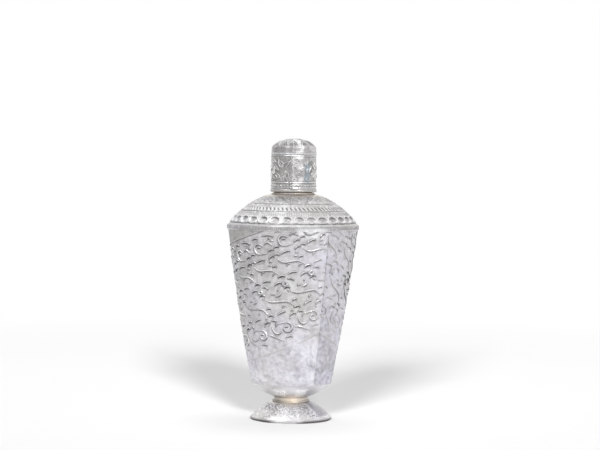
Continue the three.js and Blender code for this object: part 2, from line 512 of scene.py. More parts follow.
def placed(template, x, y, turn=0.0):  # a copy at a place in mm
    piece = template.copy()
    piece.data = template.data.copy()
    bpy.context.collection.objects.link(piece)
    place = Matrix.Translation((x * mm, y * mm, 0))
    piece.data.transform(place @ Matrix.Rotation(math.radians(turn), 4, "Z"))
    return piece


def scrap(*pieces):
    for piece in pieces:
        bpy.data.objects.remove(piece)


# The wall: a flat sheet, stamped between two straight borders, cut as a fan and rolled to a cone.
# Flat places are measured in mm from the cone's own apex: x along the borders, y up the sheet.

wall = {
    "seam": 33.0,  # degrees round to the right from the front
    "around": 420,
    "rowStep": 0.31,
    "topBorder": 138.6,
    "bottomBorder": 97.3,
    "borderWidth": 0.5,
    "borderRises": (0.22, 0.20),
    "columnPitch": 9.8,
    "columnStart": -1.1,
    "rows": (129.6, 118.6, 107.7),
    "lineWidth": 0.74,
    "lineRise": 0.30,
    "dishDepth": 0.24,
    "curls": 5,  # small ones between the larger forms, in each repeat
    "curlSeed": 7,
    "curlRange": ((-4.9, -5.4, 0.35, 120, 110), (4.9, 5.4, 0.65, 210, 220)),  # place, radius, start, turn
    "hammering": 0.06,
    "faintRelief": 0.16,
    "shadowReach": 0.31,
    "shadowShift": 0.18,
    "seamStep": 0.16,
    "seamWear": (5.0, 12.0),  # how far from the seam the sheet is worn, at the top and more below
    # the wall below this is painted lighter and lilac, a painted reflection of the bright floor
    "paleBelow": 108.0,
    "hemBelow": 17.5,  # mm above the floor, as the next
    "glareAbove": 64.5,
    "glare": (0.02, 0.60),  # radians to the right, where the painted glare lies on the wall's upper edge and the band
    "darkPatch": (0.45, 20.5),  # radians to the right and mm above the floor
}

wallOutline = cadOutline("body_wall")
wallBottom = min(wallOutline, key=lambda p: (p[1], -p[0]))
wallTop = max(wallOutline, key=lambda p: (p[1], p[0]))
wallSlant = math.hypot(wallTop[0] - wallBottom[0], wallTop[1] - wallBottom[1])
fanShare = (wallTop[0] - wallBottom[0]) / wallSlant  # degrees of fan for each degree round the cone
fanTop = wallTop[0] / fanShare
fanBottom = wallBottom[0] / fanShare
wallLean = math.asin(fanShare)
backAzimuth = math.radians(wall["seam"] - 180)
halfFan = math.pi * fanShare


def onSkin(place):  # outside, not in the wall's hollow
    middle = np.interp(place[1], (wallBottom[1], wallTop[1]), (wallBottom[0], wallTop[0]))
    return place[0] > middle - 0.1 * mm


wallSkin = sorted(filter(onSkin, smoothOutline(wallOutline, 1 * mm, 1 * mm)), key=lambda p: p[1])

# Each row of the pattern repeats a flower with what grows round it. Ovals are sunk, with a raised upper rim:
# place, length, width and turn. Lines are raised. Places are from the flower's middle.
ovals = (
    ((-0.2, 1.25, 2.1, 1.5, 10), (-0.9, -1.1, 2.1, 1.5, 20), (1.2, -0.8, 1.5, 1.2, -20),
     (4.3, -1.1, 3.5, 1.4, 3), (-1.1, -4.5, 1.4, 1.3, 0), (2.1, 1.7, 1.6, 1.3, 0),
     (0.2, 6.3, 4.5, 1.7, -16), (-4.9, 6.7, 2.4, 1.4, -5), (-4.3, 3.5, 1.0, 1.0, 0)),
    ((-0.2, 2.3, 2.3, 1.9, 0), (2.3, 0.5, 2.2, 1.6, -28), (-2.3, 0.3, 2.7, 1.7, 8),
     (0.1, -1.9, 2.0, 1.9, 0), (0.0, 0.0, 0.7, 0.7, 0), (3.8, 2.4, 3.0, 1.3, -6),
     (1.0, -6.7, 1.3, 1.1, 0), (-5.4, -2.4, 1.0, 0.9, 0)),
    ((0.7, 1.6, 2.0, 1.4, 0), (-1.6, -0.5, 2.2, 1.7, 15), (1.0, -0.4, 1.7, 1.2, -20),
     (4.7, 1.5, 3.0, 0.9, 8), (4.3, -3.7, 1.3, 1.0, 0), (4.0, -7.4, 2.2, 1.2, -10)),
)
lines = (
    (((0.9, -1.9), (1.5, -3.2), (3.2, -4.2), (6.3, -4.7), (8.0, -5.6), (9.1, -7.5)),
     arcPoints(-4.4, 3.4, 1.7, 20, 250, 8, 2.0) + [(-3.5, 1.3), (-1.9, 1.0)],
     ((-1.7, 4.2), (-0.9, 4.8), (0.2, 4.4), (0.8, 3.0))),
    (((0.9, -3.0), (2.0, -4.2), (4.4, -5.0), (7.4, -5.6), (8.9, -6.4), (9.6, -8.4)),
     arcPoints(0, 0, 0.78, 100, 460, 10),
     ((-4.7, -3.1), (-3.8, -3.2), (-3.0, -2.9), (-2.3, -2.2))),
    ([(1.3, -1.1), (2.8, -1.6)] + arcPoints(4.5, -3.8, 2.1, 80, -230, 10, 1.0),
     ((-0.4, -1.9), (-0.6, -3.2), (0.1, -4.6), (1.3, -4.9), (2.2, -4.4)),
     ((-2.9, -4.2), (-1.3, -4.9), (0.0, -6.1), (1.7, -7.8))),
)


def columns():
    reach = math.ceil(fanTop / mm * math.sin(halfFan) / wall["columnPitch"]) + 1
    return [wall["columnStart"] + wall["columnPitch"] * column for column in range(-reach, reach + 1)]


def fromSeam(x, y, side):  # mm from the seam, all the way round to its right (1) or its left (-1)
    return (halfFan + side * np.arctan2(x, y)) * np.hypot(x, y)


def wornNear(x, y):  # 1 at the seam's left side, 0 past the worn strip
    top, more = wall["seamWear"]
    return unit(1 - fromSeam(x, y, -1) / (top + more * unit((112 - y) / 22)))


def nearRight(x, y):  # 1 to the right of the seam, 0 past the bottle's side
    return unit(1.6 - fromSeam(x, y, 1) / 14)


def strength(x, y):  # how well the relief has kept, 0 to 1.2
    kept = noiseAt(np.column_stack((x, y, 0 * x)), 13.0, 2.7) * 0.5 + 0.98
    faintBorder = hump(y, wall["bottomBorder"], 1.2) * (1 - nearRight(x, y))
    kept *= 1 - 0.6 * wornNear(x, y)
    kept *= 1 - (0.15 + 0.35 * unit((38 - x) / 8)) * unit((107 - y) / 6)
    return np.clip(kept * (1 - 0.5 * nearRight(x, y)) * (1 - 0.85 * faintBorder), 0.1, 1.2)


def rollToWall(piece):
    flat = pointsOf(piece)
    reach = np.hypot(flat[:, 0], flat[:, 1])
    azimuth = backAzimuth + np.arctan2(flat[:, 0], flat[:, 1]) / fanShare
    height = wallBottom[1] + (reach - fanBottom) / (fanTop - fanBottom) * (wallTop[1] - wallBottom[1])
    radius = np.interp(height, [p[1] for p in wallSkin], [p[0] for p in wallSkin])
    radius += flat[:, 2] * math.cos(wallLean)
    movePolar(piece, azimuth, radius, height - flat[:, 2] * math.sin(wallLean))


def onFan(azimuth, height):  # the flat place of a point on the wall
    turn = turnFrom(azimuth, backAzimuth) * fanShare
    reach = fanBottom + (height - wallBottom[1]) / (wallTop[1] - wallBottom[1]) * (fanTop - fanBottom)
    return reach * np.sin(turn) / mm, reach * np.cos(turn) / mm


def cutAcross(piece, place, normal):  # clears what lies past a plane and closes the cut
    editAll(piece)
    bpy.ops.mesh.bisect(plane_co=place, plane_no=normal, use_fill=True, clear_outer=True)
    bpy.ops.object.mode_set(mode="OBJECT")


def rowCell(rowOvals, rowLines, dice):  # one repeat of a row, about its flower's middle
    width, rise = wall["lineWidth"], wall["lineRise"]
    parts = []
    for oval in rowOvals:
        parts.append(strand(archPoints(*oval), (0.2, 0.85 * width, 0.7 * width, 0.2), 0.9 * rise))
    for line in rowLines:
        parts.append(strand(line, (0.3, 1.12 * width, width, 0.3), 1.1 * rise, 4))
    for _ in range(wall["curls"]):
        x, y, radius, start, turn = dice.uniform(*wall["curlRange"])
        arc = arcPoints(x, y, radius, start, start - turn, 6)
        parts.append(strand(arc, (0.15, 0.6 * width, 0.15), 0.5 * rise, 2))
    return joined("row_cell", parts)


def wallScrolls():
    dice = np.random.default_rng(wall["curlSeed"])
    cells = [rowCell(*row, dice) for row in zip(ovals, lines)]
    copies = []
    for x in columns():
        for cell, y in zip(cells, wall["rows"]):
            if abs(math.atan2(x, y)) < halfFan + 0.09:
                copies.append(placed(cell, x, y))
    for border, rise in zip((wall["topBorder"], wall["bottomBorder"]), wall["borderRises"]):
        half = border * math.tan(halfFan) + 3
        path = [(half * (i / 40 - 1), border) for i in range(81)]
        copies.append(strand(path, (wall["borderWidth"], wall["borderWidth"]), rise, 2))
    scrolls = joined("wall_scrolls", copies)
    for side in (-1, 1):
        cutAcross(scrolls, (0, 0, 0), (side * math.cos(halfFan), -math.sin(halfFan), 0))
    flat, normals = pointsOf(scrolls), pointsOf(scrolls, "normal")
    kept, lit = strength(flat[:, 0] / mm, flat[:, 1] / mm), flatLit(normals)
    # painted shade on the lower flanks of the raised lines, painted highlights on their upper flanks
    keepFields(scrolls, grime=unit((0.04 - lit) / 0.3) * unit(kept + 0.1),
               shine=unit((lit + 0.26) / 0.5) * unit(kept))
    flat[:, 2] = np.where(flat[:, 2] > 0, flat[:, 2] * kept, flat[:, 2])
    movePoints(scrolls, flat)
    rollToWall(scrolls)
    cutAcross(scrolls, (0, 0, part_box("rim_band")[0].z), (0, 0, 1))
    smoothBy(scrolls, 50)
    scrap(*cells)
    return scrolls


def wallDishes(x, y):  # depth of the sunk ovals, and the painted shade under their upper rims, 0 to 1
    depth, shade = np.zeros(len(x)), np.zeros(len(x))
    for column in columns():
        for row, rowOvals in zip(wall["rows"], ovals):
            for cx, cy, length, width, turn in rowOvals:
                u, v = x - column - cx, y - row - cy
                near = np.nonzero(u**2 + v**2 < (0.6 * length) ** 2)[0]
                along, across = inOval(u[near], v[near], length, width, turn)
                inside = unit(1 - along**2 - across**2)
                sunk = np.minimum(1, 2.2 * inside) ** 0.8 * min(1, width / 1.5)
                depth[near] = np.maximum(depth[near], sunk)
                deep = np.minimum(1, 4 * inside) * unit(0.42 + 0.62 * across + 0.2 * along)
                if math.hypot(cx, cy) < 2.7 or length <= 1.0:  # petals and the small eyes get darker painted shade
                    deep *= 1.7
                shade[near] = np.maximum(shade[near], deep)
    return depth, shade


def underLines(points, motifs):  # 1 close under the raised lines, on their shaded side
    raised = pointsOf(motifs)
    tree = kdtree.KDTree(len(raised))
    for i, point in enumerate(raised):
        tree.insert(point, i)
    tree.balance()
    right, up = lightSide
    shifted = points + wall["shadowShift"] * mm * (right * asideOf(points) + (0, 0, up))
    away = np.array([tree.find(point)[2] for point in shifted])
    return unit(1 - away / (wall["shadowReach"] * mm))


def wallWork(azimuth, radius, points):
    x, y = onFan(azimuth, points[:, 2])
    height = points[:, 2] / mm
    # the low wall: painted lighter and lilac as a painted reflection of the floor, with more fine specks
    low = unit((wall["paleBelow"] - y) / 14)
    hem = unit((wall["hemBelow"] - height) / 2.5)
    worn, kept, past, right = wornNear(x, y), strength(x, y), fromSeam(x, y, 1), nearRight(x, y)
    broad, lump, small = noises(points, (9, 1.0), (3.4, 7.0), (1.3, 5.0))
    worn *= np.clip(0.6 + 1.2 * broad + 0.5 * lump, 0.1, 1)
    ends = within(height, wallBottom[1] / mm, wallTop[1] / mm, 0.8)
    upperLeft = within(y, wall["topBorder"], 400, 0.5)
    faint = within(y, wall["topBorder"] + 0.3, 400, 1.0)
    faint = np.maximum(faint, within(y, 0, wall["bottomBorder"] - 0.3, 1.0))
    foliage = np.clip(0.5 - np.abs(small) * 2.4, -0.2, 0.5) + 0.4 * lump
    patchy = np.clip(broad * 1.6 + 0.55, 0.1, 1)
    dish, shade = wallDishes(x, y)
    relief = ends * (wall["hammering"] * (broad + 0.8 * lump + 0.35 * small)
                     + wall["faintRelief"] * faint * patchy * foliage
                     - wall["dishDepth"] * dish * kept - wall["seamStep"] * np.exp(-past / 2.6))
    # painted glare: a painted highlight on the wall's upper edge, with a cool painted reflection in the tint
    glare = unit((height - wall["glareAbove"]) / 1.5) * within(azimuth, *wall["glare"], 0.15)
    glare *= unit(0.8 + lump)
    # a dark patch low on the wall, darkened in colour only
    turn, up = wall["darkPatch"]
    darkPatch = unit(1.2 - np.hypot((azimuth - turn) * 8, (height - up) / 3.2) + 0.9 * lump)
    # painted shade under the ovals' rims and painted shadow close under the raised lines
    grime = 0.34 * shade * kept * (1 - 0.5 * right) + underLines(points, scrolls) * 0.95 * kept
    grime += 0.75 * hump(past, 0.0, 0.46) * (1 - 0.6 * low) + 0.20 * upperLeft * (1 - glare)
    grime += 0.34 * darkPatch + 0.12 * low * unit(4 * lump - 0.8)
    # tone: random mottle, wear by the seam, and the low wall painted lighter as a painted reflection
    tone = (0.16 + 0.12 * low) * broad + (0.18 + 0.2 * low) * lump + (0.34 + 0.2 * low) * small
    tone += 0.26 * worn + 0.26 * low - 0.08 - 0.1 * hem + 0.12 * right * (1 - 4.2 * low)
    # painted light: the wall is painted lighter in front and darker towards its far left side
    farLeft = unit(-0.45 - azimuth) * within(azimuth, -2, 0, 0.1)
    tone += (0.14 * within(azimuth, -0.3, 0.5, 0.25) - 0.45 * farLeft) * (1 - low)
    tint = 0.6 * worn + 0.45 * low + 0.7 * glare + 0.4 * broad + 0.3 * right + 0.10
    return {
        "relief": relief,
        "grime": grime,
        "shine": 0.9 * glare + 0.25 * hump(fromSeam(x, y, -1), 1.2, 1.6) * (0.3 + kept),
        "tone": tone,
        "tint": tint - 0.4 * upperLeft - 0.2 * hem,
        "lace": np.maximum(faint, 0.9 * low) * (1 - hem) + 0.4 * right,
    }


scrolls = wallScrolls()
settle(scrolls, chasedSilver, "vessel", "embossed_silver")
print("scrolls drawn:", len(scrolls.data.polygons), "faces")
embossed("body_wall_sheet", "body_wall", "vessel", chasedSilver, wall, wallWork, 1.6)


# Shoulder: rings of lobes, hatching and slanted teeth round a plain neck seat. Radii in mm.

shoulderWork = {
    "around": 640,
    "rowStep": 0.24,
    "lobes": 31,
    "lobeRing": (20.55, 22.15),
    "lobeDepth": 0.30,
    "hatch": 150,
    "hatchRing": (18.95, 20.40),
    "teeth": 73,
    "teethRing": (16.85, 18.15),
    "teethDepth": 0.26,
    "teethSlant": 0.42,  # pitches of lean for each mm outwards
    "cutThreads": (15.35, 18.62, 22.45),
    "raisedThreads": (15.85, 20.45),
    "leafRing": (9.6, 14.9),
    "leaves": 13,
}


def shoulderChasing(azimuth, radius, points):
    job = shoulderWork
    broad, lump, small = noises(points, (7, 11.0), (2.4, 4.0), (0.8, 6.0))
    low, high = job["lobeRing"]
    along = (radius - (low + high) / 2) / ((high - low) / 2)
    across = wave(azimuth, job["lobes"]) * 2
    away = np.sqrt((across / 0.74) ** 2 + (along / 0.95) ** 2) + 0.10 * lump
    relief = -job["lobeDepth"] * np.sqrt(unit(1 - away**2)) + 0.15 * hump(away, 1.18, 0.22)
    # painted shade inside each lobe under its upper rim, and dark in its hollow
    inner = unit(0.1 - along)
    grime = 0.50 * hump(away, 0.88, 0.30) * inner + 0.40 * unit(1.5 - 1.5 * away)
    # less of that darkening towards the left, as painted light
    grime *= np.clip(0.85 + 0.45 * azimuth + 0.5 * broad, 0.35, 1)
    # polish on the lobes' raised rims, and painted highlight on the lower inside of each lobe
    shine = 0.9 * hump(away, 1.16, 0.18) + 0.2 * unit(1 - away) * unit(along - 0.1)
    # painted highlights between the lobes' outer ends
    spike = np.abs(wave(azimuth, job["lobes"], 0.5)) * 2 + np.clip((radius - 21.6) / 0.8, -1, 1)
    shine += 0.7 * hump(spike, 0.35, 0.28) * within(radius, 21.2, 22.3, 0.2)

    low, high = job["hatchRing"]
    cuts = hump(wave(azimuth, job["hatch"]), 0, 0.36) * within(radius, low, high, 0.15)
    relief -= 0.10 * cuts
    grime += 0.42 * cuts * unit(0.8 + broad + 0.8 * small)
    low, high = job["teethRing"]
    lean = job["teethSlant"] * (radius - (low + high) / 2)
    tooth = (azimuth * job["teeth"] / math.tau - lean) % 1
    row = within(radius, low, high, 0.22)
    relief -= job["teethDepth"] * hump(tooth, 0.5, 0.30) * row
    grime += 0.75 * hump(tooth, 0.52, 0.26) * row
    shine += 0.9 * hump(tooth, 0.06, 0.24) * row
    for thread in job["cutThreads"]:
        cut = hump(radius + 0.15 * lump, thread, 0.26)
        relief -= 0.12 * cut
        grime += 0.8 * cut * np.clip(0.9 + lump, 0.3, 1)
    for thread in job["raisedThreads"]:
        relief += 0.10 * hump(radius, thread, 0.30)
        shine += 0.5 * hump(radius, thread, 0.25) * unit(0.6 + 1.2 * broad)

    low, high = job["leafRing"]
    middle, swing = (low + high) / 2, (high - low) / 2
    inside = within(radius, low, high, 0.3)
    bend = np.sin(azimuth * job["leaves"])
    vine = hump(radius - middle - 0.5 * swing * bend, 0, 0.34)
    aside = wave(azimuth, 2 * job["leaves"], 0.25) * 2.7
    outwards = (radius - middle + 0.35 * swing * bend) / 1.05
    leaf = np.sqrt(aside**2 + outwards**2) + 0.25 * lump
    figure = np.maximum.reduce((vine, hump(leaf, 0.95, 0.30), hump(lump, 0.0, 0.13)))
    relief -= (0.12 * figure - 0.06 * small) * inside
    grime += 0.60 * figure * inside * np.clip(0.7 + 1.5 * broad, 0.15, 1)
    # painted glints, at random over the chased part
    sparkle = unit(2.6 * small + 1.2 * broad - 0.65) * within(radius, 9.0, 22.8, 0.5)
    relief += 0.05 * (broad + lump) * within(radius, 7.6, 22.8, 0.5)
    # a painted highlight on the front left
    front = within(azimuth, -0.75, 0.05, 0.3) * within(radius, 14, 22.3, 1)
    seat = within(radius, 5, 10.0, 1.0)
    # painted light: lighter in front, darker towards the right side
    tone = 0.25 * broad + 0.30 * lump + 0.3 * small + 0.10 * within(azimuth, -0.5, 0.5, 0.3)
    tone -= 0.2 * unit(azimuth - 0.4)
    return {"relief": relief, "grime": grime, "shine": shine + 0.9 * sparkle + 0.22 * front + 0.5 * seat,
            "tone": tone, "tint": 0.4 * broad - 0.15}


embossed("shoulder_chased", "shoulder", "vessel", chasedSilver, shoulderWork, shoulderChasing, 0.9)


# Band round the joint, cut with fine upright hatching

bandWork = {"around": 660, "rowStep": 0.15, "cuts": 220, "depth": 0.12}


def bandHatching(azimuth, radius, points):
    low, high = (corner.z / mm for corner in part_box("rim_band"))
    height = points[:, 2] / mm
    broad, small = noises(points, (5, 4.0), (1.1, 8.0))
    cuts = hump(wave(azimuth + 0.01 * small, bandWork["cuts"]), 0, 0.42)
    cuts *= within(height, low + 0.2, high - 0.25, 0.12)
    # a cut along the band's top, darkened further as painted shadow under the shoulder's lobes
    edge = hump(height + 0.08 * small, high - 0.08, 0.20)
    # painted glare: painted highlight and a cool painted reflection, in line with the wall's
    glare = within(azimuth, *wall["glare"], 0.12) * within(height, 0, low + 1.2, 0.3)
    cuts *= unit(0.95 + 1.1 * broad + 0.8 * small - 0.9 * glare)
    return {
        "relief": 0.03 * (broad - 1) + 0.03 * small - bandWork["depth"] * np.maximum(cuts, 0.5 * edge),
        "grime": 0.85 * cuts + 0.75 * edge * unit(0.7 + broad) + 0.4 * hump(height, low, 0.2),
        "shine": 1.2 * glare + unit(2.2 * small - 0.5),
        "tone": 0.4 * broad + 0.4 * small + 0.1,
        "tint": 0.9 * glare,
    }


embossed("rim_band_hatched", "rim_band", "vessel", chasedSilver, bandWork, bandHatching, 1.0)


# Foot: fine crumpled leaves pressed into a dome, worn smooth on one side

footWork = {
    "around": 640,
    "rowStep": 0.12,
    "leaves": 11,
    "leafRing": (7.6, 13.7),
    "crumple": 0.15,
    "smoothSide": (42.0, 100.0),  # degrees to the right
    "brightLip": (-0.70, 0.05),  # radians, where the lip gets a painted highlight and is pressed less
}


def footPressing(azimuth, radius, points):
    inner, outer = footWork["leafRing"]
    broad, lump, small, tiny = noises(points, (4.5, 12.0), (1.5, 8.0), (0.75, 3.0), (0.42, 9.0))
    climb = unit((outer - radius) / (outer - inner))
    across = wave(azimuth, footWork["leaves"]) * 2 + 0.25 * lump
    width = 0.2 + 0.7 * np.sin(math.pi * np.clip(climb, 0.02, 0.98)) ** 0.8
    leaf = hump(np.abs(across) / width, 1.0, 0.20) + 0.7 * hump(across, 0, 0.09)
    ridges = np.clip(0.5 - np.abs(small) * 2.2, -0.3, 0.5)
    inside = within(radius, inner, outer, 0.5)
    start, end = (math.radians(side) for side in footWork["smoothSide"])
    smooth = within(azimuth, start, end, 0.15) * within(radius, 0, 13.4, 0.5)
    lip = within(azimuth, *footWork["brightLip"], 0.25) * within(radius, 12.5, 14.3, 0.6)
    pressed = inside * (1 - 0.92 * smooth) * (1 - 0.85 * lip) * np.clip(0.75 + broad, 0.3, 1)
    # painted light: the front of the foot is painted lighter, with fewer dark pits there
    middle = 0.9 * within(azimuth, -0.5, 0.3, 0.25) - 0.35 * within(azimuth, 0.25, 0.8, 0.15)
    pits = unit(3.0 * tiny - lump * 0.8 - 0.4 * azimuth - 0.1 - middle)
    return {
        "relief": pressed * (footWork["crumple"] * (0.35 * lump + ridges + 0.7 * tiny) - 0.10 * leaf),
        "grime": pressed * (0.25 * leaf + 0.85 * pits),
        "shine": pressed * 0.9 * unit(2.4 * small + 0.3) + lip,
        "tone": 0.25 * broad - 0.88 * smooth + 0.28 * pressed + 0.3 * middle,
        "tint": 0.75 * smooth + 0.3 * broad,
    }


embossed("foot_chased", "foot_skirt", "vessel", footSilver, footWork, footPressing, 1.3, 1.0)


# Cap: a seamed sheet with leaves in relief, closed by a dome of petals.
# Sheet places in mm: x to the right of the seam, y up from the sheet's lower edge.

capWork = {
    "around": 400,
    "rowStep": 0.15,
    "seam": -6.0,  # degrees
    "crease": 0.22,  # mm that the seam stands up
    "creaseReach": 3.0,  # mm to each side
    "dots": 40,
    "dotHeight": 1.25,
    "threads": ((2.25, 0.20), (0.35, 0.22), (-0.35, 0.25)),  # mm up from its foot, or down from its top
    "cuts": ((2.6, 0.2), (-0.8, 0.22), (1.9, 0.16)),
    "petals": 12,
    "petalRims": ((4.3, 7.9, 1.0, 0.24), (5.6, 7.9, 0.62, 0.16)),  # radius at tip and root, spread, rise
    "blueHeights": (83.0, 92.0),
    "brightStrip": (0.25, 4.6),  # right of the seam, where a painted highlight lies
    "blueStrip": (4.2, 8.0),
}

capLeaves = (  # x, y, length, width and turn on half of the sheet, left of the seam and right of it
    (-4.2, 9.1, 3.4, 1.9, 125), (-1.9, 8.6, 4.6, 1.4, 40), (-1.3, 4.1, 5.0, 1.3, -72),
    (-5.8, 7.3, 2.6, 1.0, -35), (-5.1, 4.5, 2.8, 1.3, -30), (-3.1, 3.8, 2.4, 1.1, 60),
    (-7.7, 6.5, 3.4, 1.4, 75), (-7.9, 3.6, 2.2, 1.0, 10), (-10.0, 8.0, 3.2, 1.5, 65),
    (-10.4, 4.4, 2.8, 1.3, -60), (-7.3, 9.8, 2.2, 1.0, -20), (2.0, 10.0, 3.0, 1.6, -20),
    (5.6, 9.2, 2.2, 0.9, 48), (4.1, 7.2, 2.2, 0.9, 35), (1.3, 7.1, 2.6, 1.3, -50),
    (3.2, 4.8, 3.2, 1.6, -20), (7.7, 6.4, 2.9, 1.5, 90), (6.4, 3.5, 2.3, 1.0, 15),
    (1.1, 3.4, 2.0, 1.0, 25), (7.9, 9.6, 2.2, 1.0, 110), (9.9, 8.2, 2.8, 1.3, 60),
    (10.2, 4.4, 2.8, 1.3, 60), (5.9, 6.6, 1.8, 0.8, 65),
)
capSeam = math.radians(capWork["seam"])
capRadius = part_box("cap_wall")[1].x
capFoot, capTop = (corner.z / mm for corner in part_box("cap_wall"))


def creaseAt(azimuth, radius):  # mm that the seam's fold lifts the sheet
    away = turnFrom(azimuth, capSeam) * radius
    fold = unit(1 - np.abs(away) / capWork["creaseReach"])
    return capWork["crease"] * fold + 0.12 * hump(away, -0.15, 0.28) - 0.12 * hump(away, 0.2, 0.2)


def capTones(azimuth, points):  # what the wall, the leaves and the dome share
    across = turnFrom(azimuth, capSeam) * capRadius / mm
    broad, small = noises(points, (3.0, 3.0), (0.9, 5.0))
    # a painted highlight in the strip right of the seam
    low, high = capWork["brightStrip"]
    bright = within(across, low, high + 1.6 * broad, 0.35)
    bright *= np.clip(0.85 + 1.4 * broad + 0.6 * small, 0.1, 1)
    blue = within(across + 1.2 * broad, *capWork["blueStrip"], 1.0) * np.clip(1.1 + 1.6 * broad, 0.1, 1)
    blue *= 0.3 + 0.7 * within(points[:, 2] / mm, *capWork["blueHeights"], 2.0)
    # painted shade: the left half darker, and the rest darker outside the highlight
    left = unit(0.4 - across * 3)
    shadedSide = 0.68 * left + 0.36 * (1 - left) * (1 - bright)
    return {
        "tone": 0.25 * broad + 0.35 * small - shadedSide + 0.4 * bright - 0.3 * blue,
        "tint": 1.0 * blue + 0.3 * broad - 0.25 - 0.3 * left,
        "shine": bright * unit(0.25 + 2.4 * broad + small),
        "grime": 0.70 * hump(across, 0.18, 0.26),
    }


def leafHollows(x, y):  # 0 to 1 inside the leaves of the sheet
    inside = np.zeros(len(x))
    half = math.pi * capRadius / mm
    for cx, cy, length, width, turn in capLeaves:
        u = (x - cx + half / 2) % half - half / 2
        along, across = inOval(u, y - cy, length, 0.9 * width, turn)
        inside = np.maximum(inside, unit(1.6 * (1 - along**2 - across**2)))
    return inside


def capRings(height, rings):
    return sum(hump(height, (capFoot if place > 0 else capTop) + place, reach) for place, reach in rings)


def capWallChasing(azimuth, radius, points):
    height = points[:, 2] / mm
    ends = within(height, capFoot - 0.2, capTop + 0.2, 0.5)
    lump, small = noises(points, (2.6, 6.0), (0.9, 2.0))
    fields = capTones(azimuth, points)
    threads, cuts = capRings(height, capWork["threads"]), capRings(height, capWork["cuts"])
    hollow = leafHollows(turnFrom(azimuth, capSeam) * capRadius / mm, height - capFoot)
    fields["relief"] = (ends * (creaseAt(azimuth, radius) + 0.07 * lump + 0.03 * small)
                        + 0.10 * threads - 0.09 * cuts - 0.08 * hollow)
    fields["grime"] += 0.5 * cuts * unit(0.8 + lump) + 0.42 * hollow
    fields["shine"] += 0.30 * threads
    return fields


def leafForm(length, width):  # a folded almond about the middle, along x
    half = 0.5 * length
    top = [(-half, 0), (-0.25 * length, 0.5 * width), (-0.1 * length, 0.5 * width), (half, 0)]
    bottom = [(x, -y) for x, y in top]
    rib = [(-half, 0), (0, 0.05 * width), (0.92 * half, 0)]
    parts = [strand(side, (0.25, 0.46, 0.2), 0.28) for side in (top, bottom)]
    return joined("leaf", parts + [strand(rib, (0.26, 0.24, 0.12), 0.16)])


def capSprays():
    copies = []
    for x, y, length, width, turn in capLeaves:
        leaf = leafForm(length, width)
        for half in (0, math.pi * capRadius / mm):
            copies.append(placed(leaf, x + half, capFoot + y, turn))
        scrap(leaf)
    dot = berry(0.7, 0.55, 0.20, 7)
    pitch = math.tau * capRadius / mm / capWork["dots"]
    copies += [placed(dot, pitch * i, capFoot + capWork["dotHeight"]) for i in range(capWork["dots"])]
    sprays = joined("cap_sprays", copies)
    flat, lit = pointsOf(sprays), flatLit(pointsOf(sprays, "normal"))
    azimuth = flat[:, 0] / capRadius + capSeam
    radius = capRadius + flat[:, 2] + creaseAt(azimuth, capRadius / mm) * mm
    movePolar(sprays, azimuth, radius, flat[:, 1])
    fields = capTones(azimuthOf(pointsOf(sprays)), pointsOf(sprays))
    # painted shade on the leaves' lower flanks, painted highlights on their upper flanks
    fields["grime"] = unit((-0.10 - lit) / 0.3) * 0.9
    fields["shine"] = unit((lit + 0.3) / 0.7) * (0.55 + 0.45 * unit(fields["shine"]))
    keepFields(sprays, **fields)
    smoothBy(sprays, 50)
    scrap(dot)
    return sprays


def domePetals(azimuth, radius, points):
    petals = capWork["petals"]
    fields = capTones(azimuth, points)
    lump = noiseAt(points, 2.2 * mm, 3.0)
    inside = within(radius, 1.0, 7.8, 1.0)
    relief = creaseAt(azimuth, np.maximum(radius, 0.1)) * unit((radius - 4) / 3)
    grime = 0.0
    for tip, root, spread, rise in capWork["petalRims"]:  # nested, pointed to the top
        share = unit((radius - tip) / (root - tip))
        edge = np.abs(wave(azimuth, petals, 0.5)) * 2 - spread * share
        rim = hump(edge, 0, 0.20) * within(radius, tip - 0.3, root, 0.3)
        relief += rise * rim
        grime += 0.70 * hump(edge, -0.24, 0.20) * within(radius, tip, root, 0.4)
    ray = hump(wave(azimuth, petals), 0, 0.10) * within(radius, 1.0, 5.0, 1.0)
    relief += 0.10 * ray
    grime += 0.3 * hump(wave(azimuth, petals), 0.12, 0.10) * within(radius, 1.5, 5.0, 1.0)
    top = unit((5.2 - radius) / 2)  # the relief stays under the dome's own height here
    fields["relief"] = relief * inside + 0.05 * lump * within(radius, 1.5, 9, 1.0) - 0.14 * top
    fields["grime"] = fields["grime"] * unit((radius - 5) / 2) + grime * inside
    fields["tone"] += 0.10
    fields["tint"] = 0.5 * fields["tint"]
    return fields


embossed("cap_wall_chased", "cap_wall", "cap", capSilver, capWork, capWallChasing, 1.2)
settle(capSprays(), capLineSilver, "cap", "embossed_silver")
print("leaves laid round the cap:", 2 * len(capLeaves))
embossed("cap_dome_chased", "cap_dome", "cap", capSilver, capWork, domePetals, 1.2, 1.0)


# Plain turned pieces, with their edges eased

